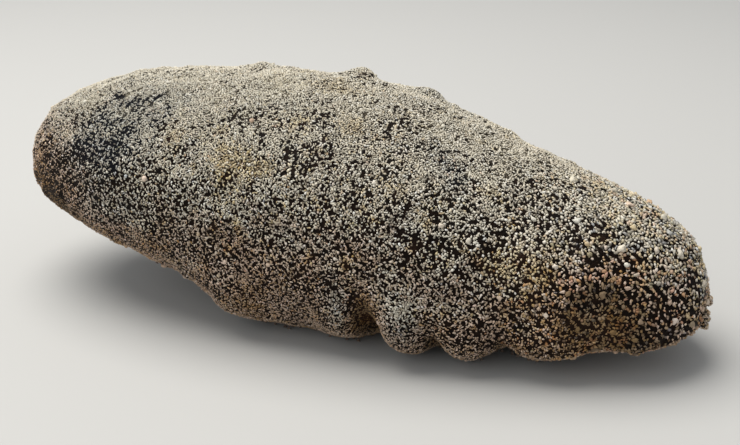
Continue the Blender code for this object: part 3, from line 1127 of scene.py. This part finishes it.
def mouth_collar(pocket_floor):
    """The thick lip round the mouth, drawn into fine folds."""
    around, section = 160, 20
    a = 2 * math.pi * np.arange(around)[:, None] / around
    b = 2 * math.pi * np.arange(section)[None] / section
    middle = MOUTH_RADIUS - GAP - LIP_RADIUS
    deep = 0.4 + 0.6 * np.maximum(np.sin(b), 0)
    fold = 1 + 0.13 * np.cos(20 * a + 0.6 * np.sin(3 * a)) * deep
    radius = middle + LIP_RADIUS * 0.92 * fold * np.cos(b)
    height = LIP_HALF_HEIGHT * (1 + 0.92 * fold * np.sin(b))
    points = np.stack((radius * np.cos(a), radius * np.sin(a), height), axis=-1).reshape(-1, 3)
    index = np.arange(around * section).reshape(around, section)
    right, up = np.roll(index, -1, axis=0), np.roll(index, -1, axis=1)
    quads = np.stack((index, right, np.roll(right, -1, axis=1), up), axis=-1).reshape(-1, 4)
    lift = np.repeat((0.5 + 0.5 * np.sin(b)), around, axis=0).ravel()
    return mesh_object("lip_folds", out_of(pocket_floor, points), [quads], {"lift": lift})


def tentacles(pocket_floor):
    """The buccal disc and the whorls of tentacles, each ending in a shield of lobes."""
    heap = Heap()
    disc_radius = MOUTH_RADIUS - 2 * GAP - 2 * LIP_RADIUS
    disc = ((0, 0), (disc_radius, 0.0002), (disc_radius, 0.0022), (0.0062, DISC_HEIGHT))
    disc += ((0.0030, 0.0027), (0.0012, 0.0016), (0, 0.0012))
    points, faces = lathe(disc, 48)
    heap.add(out_of(pocket_floor, points), faces, np.full(len(points), 0.1))
    disc_top = pocket_floor @ Matrix.Translation((0, 0, DISC_HEIGHT))
    knob_points, knob_faces = ball(2)
    knobs = pebble_shapes(knob_points, 6)
    for row, (count, ring_radius, lean, length, shield) in enumerate(WHORLS):
        for root in whorl_frames(disc_top, count, ring_radius, lean, row / 2):
            reach = length * random.uniform(0.82, 1.0)
            stalk = ((0.0, -0.0012), (0.00105, -0.0012), (0.00105, 0.0), (0.00085, 0.3 * reach))
            stalk += ((0.00072, 0.6 * reach), (0.00085, 0.92 * reach), (0, reach))
            points, faces = lathe(stalk, 14)
            heap.add(out_of(root, points), faces, np.clip(points[:, 2] / reach, 0, 1) * 0.5)
            for ring, lobes in ((0.0, 1), (0.45, 6), (0.85, 11)):
                for lobe in range(lobes):
                    turn = 2 * math.pi * (lobe + 0.2 * random.random()) / lobes
                    size = shield * random.uniform(0.20, 0.27)
                    x, y = ring * shield * math.cos(turn), ring * shield * math.sin(turn)
                    spot = Vector((x, y, reach - 0.30 * shield * ring**2))
                    shape = knobs[random.integers(len(knobs))] * size + np.array(spot)
                    heap.add(out_of(root, shape), knob_faces, np.full(len(shape), 1.0))
    return heap.build("tentacle_shields")


def papillae(tail):
    """The small papillae round the anus, and where the sand on them lies and faces."""
    heap = Heap()
    points, normals = [], []
    for root in whorl_frames(tail, PAPILLAE, PAPILLA_RING, 30, 0.5):
        sunk = root @ Matrix.Translation((0, 0, -PAPILLA_SINK - COAT_DEPTH))
        angle = np.linspace(-math.pi / 2, math.pi / 2, 14)
        wave = 0.9 + 0.05 * np.sin(7 * angle)
        wide, high = PAPILLA_RADIUS * wave, PAPILLA_HALF_HEIGHT * PAPILLA_FLESH
        rows = list(zip(wide * np.cos(angle), high * np.sin(angle)))
        rows[0], rows[-1] = (0, -high), (0, high)
        shape, faces = lathe(rows, 20)
        heap.add(out_of(sunk, shape), faces, np.clip(shape[:, 2] / high, 0, 1))
        facing = unit(random.standard_normal((PAPILLA_GRAINS, 3)) + (0, 0, 0.6))
        across = PAPILLA_RADIUS * PAPILLA_FLESH
        points.append(out_of(sunk, facing * (across, across, high)))
        normals.append(facing @ np.array(sunk)[:3, :3].T)
    return heap.build("anal_papillae"), np.concatenate(points), np.concatenate(normals)


def sand_on(points, normals, half_widths, **fields):
    """A table of grains at given points, with fields that are the same or given for each."""
    count = len(points)
    table = {key: np.full(count, value) for key, value in fields.items()}
    table |= {"point": points, "normal": normals, "radius": half_widths}
    table["side"] = unit(random.standard_normal((count, 3)))
    return table


def tube_feet(skin):
    """Suckered feet on the sole, and hanging under the raised front of it."""
    table = skin.sample(FOOT_TRIES)
    level = table["point"][:, 2]
    lengthwise = table["point"][:, 0] / (BODY_LENGTH / 2)
    stays = (table["normal"][:, 2] < -0.92) & (level < FOOT_LEVEL)
    stays &= (lengthwise > FOOT_PLACES[0]) & (lengthwise < FOOT_PLACES[1])
    stays &= np.abs((table["v"] + 0.5) % 1 - 0.5) < SOLE_SHARE
    table = chosen(table, stays)
    heap = Heap()
    for n in packed(table["point"], np.full(len(table["u"]), FOOT_ROOM)):
        root, normal = table["point"][n], Vector(table["normal"][n])
        length = min(random.uniform(*FOOT_LENGTH), root[2] - 0.00005)
        if root[2] > SHORT_LEVEL:
            length *= SHORT_SHARE
        if skin.near_mouth(root):
            continue
        down = normal + 0.25 * Vector(random.standard_normal(3)) + Vector((0, 0, -0.6))
        if length < STUB_LENGTH:
            down = Vector((0, 0, -1))
        foot = Matrix.Translation(Vector(root)) @ turned_to(down.normalized())
        wide = random.uniform(*FOOT_RADIUS)
        rows = ((0, -0.0004), (wide, -0.0004), (wide * 0.8, 0.45 * length))
        rows += ((wide * 0.75, 0.75 * length), (wide * 1.35, 0.90 * length))
        rows += ((wide * 1.3, length), (0, 0.93 * length))
        points, faces = lathe(rows, 8)
        placed = out_of(foot, points)
        placed[:, 2] = np.maximum(placed[:, 2], 0.00003)
        heap.add(placed, faces, np.clip(points[:, 2] / length, 0, 1))
    return heap.build("tube_feet")


def finish_piece(piece, material):
    piece.data.materials.append(material)
    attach(piece, "root")


def add_object(name, data):
    made = bpy.data.objects.new(name, data)
    bpy.context.scene.collection.objects.link(made)
    return made


def add_light(name, place, target, power, colour):
    data = bpy.data.lights.new(name, "AREA")
    data.shape, data.size, data.energy, data.color = "DISK", LIGHT_SIZE, power, colour
    lamp = add_object(name, data)
    lamp.location = place
    lamp.rotation_euler = (Vector(target) - Vector(place)).to_track_quat("-Z", "Y").to_euler()


def set_camera():
    turn, rise = math.radians(VIEW_TURN), math.radians(VIEW_RISE)
    flat = math.cos(rise)
    back = Vector((math.sin(turn) * flat, -math.cos(turn) * flat, math.sin(rise)))
    data = bpy.data.cameras.new("camera")
    data.sensor_width = SENSOR_WIDTH
    data.lens = SENSOR_WIDTH * FOCAL_LENGTH / PICTURE_WIDTH
    data.clip_start, data.clip_end = 0.01, 20
    camera = add_object("camera", data)
    camera.location = Vector(VIEW_TARGET) + back * VIEW_DISTANCE
    camera.rotation_euler = (-back).to_track_quat("-Z", "Y").to_euler()
    bpy.context.scene.camera = camera


def set_studio():
    plane = bpy.data.meshes.new("studio_floor")
    plane.from_pydata([(-4, -4, 0), (4, -4, 0), (4, 4, 0), (-4, 4, 0)], [], [(0, 1, 2, 3)])
    floor = add_object("studio_floor", plane)
    pale = Shader("pale_floor")
    pale.set(Base_Color=(0.51, 0.50, 0.48, 1), Roughness=0.9)
    plane.materials.append(pale.material)
    world = bpy.data.worlds.new("studio")
    world.use_nodes = True
    sky = world.node_tree.nodes["Background"]
    sky.inputs["Color"].default_value = (0.92, 0.96, 1.0, 1)
    sky.inputs["Strength"].default_value = 0.46
    bpy.context.scene.world = world
    bpy.context.scene.view_settings.view_transform = "Standard"
    for light in LIGHTS:
        add_light(*light)


set_camera()
set_studio()

skin = Skin()
skin_piece = skin.build()
finish_piece(skin_piece, skin_material())
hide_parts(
    "head_end", "front_trunk", "middle_trunk", "rear_trunk", "tail_end"
)

grains = scatter(skin)
sand = sand_material()
for rank, (label, pieces, level, kinds) in enumerate(SAND_PIECES):
    points, faces = ball(level) if level else double_cone(6)
    shapes = pebble_shapes(points, kinds)
    some = chosen(grains, grains["rank"] == rank)
    order = np.argsort(some["u"], kind="stable")
    for number, part in enumerate(np.array_split(order, pieces), 1):
        length = chosen(some, part)
        start, end = length["u"].min() - 0.002, length["u"].max() + 0.002
        piece = grain_mesh(f"sand_{label}_{number}", length, shapes, faces, start, end)
        finish_piece(piece, sand)

place, degrees, half_widths, kinds = np.array(LONE_GRAINS).T.copy()
girth = np.radians(degrees)
facing = outward(place, girth)
lone = sand_on(
    body_surface(place, girth) - facing * COAT_DEPTH, facing, half_widths,
    stretch=1.15, warm=0.0, grime=0.0, mixed=1.0, silt=0.0, kind=kinds,
    u=np.arccos(-place) / math.pi, v=(girth / (2 * math.pi) + 0.25) % 1,
)
points, faces = ball(2)
piece = grain_mesh("sand_lone", lone, pebble_shapes(points, 5, 0.08), faces, varied=0)
finish_piece(piece, sand)

pocket_floor = skin.mouth @ Matrix.Translation((0, 0, GAP - MOUTH_DEPTH))
lip = mouth_collar(pocket_floor)
finish_piece(lip, flesh_material("lip_flesh"))
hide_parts("mouth_lip")
crown = tentacles(pocket_floor)
finish_piece(crown, flesh_material("tentacle_flesh"))
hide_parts("oral_tentacles")

knobs, spots, facing = papillae(skin.tail)
finish_piece(knobs, flesh_material("papilla_flesh"))
sanded = sand_on(
    spots, facing, random.uniform(*PAPILLA_GRAIN, len(spots)),
    stretch=1.2, warm=0.3, grime=0.3, mixed=0.3, kind=0.5, silt=0.0, u=0.995,
)
sanded["v"] = random.uniform(0.05, 0.95, len(spots))
points, faces = ball(1)
piece = grain_mesh("sand_papillae", sanded, pebble_shapes(points, 12), faces)
finish_piece(piece, sand)

feet = tube_feet(skin)
finish_piece(feet, flesh_material("foot_flesh"))
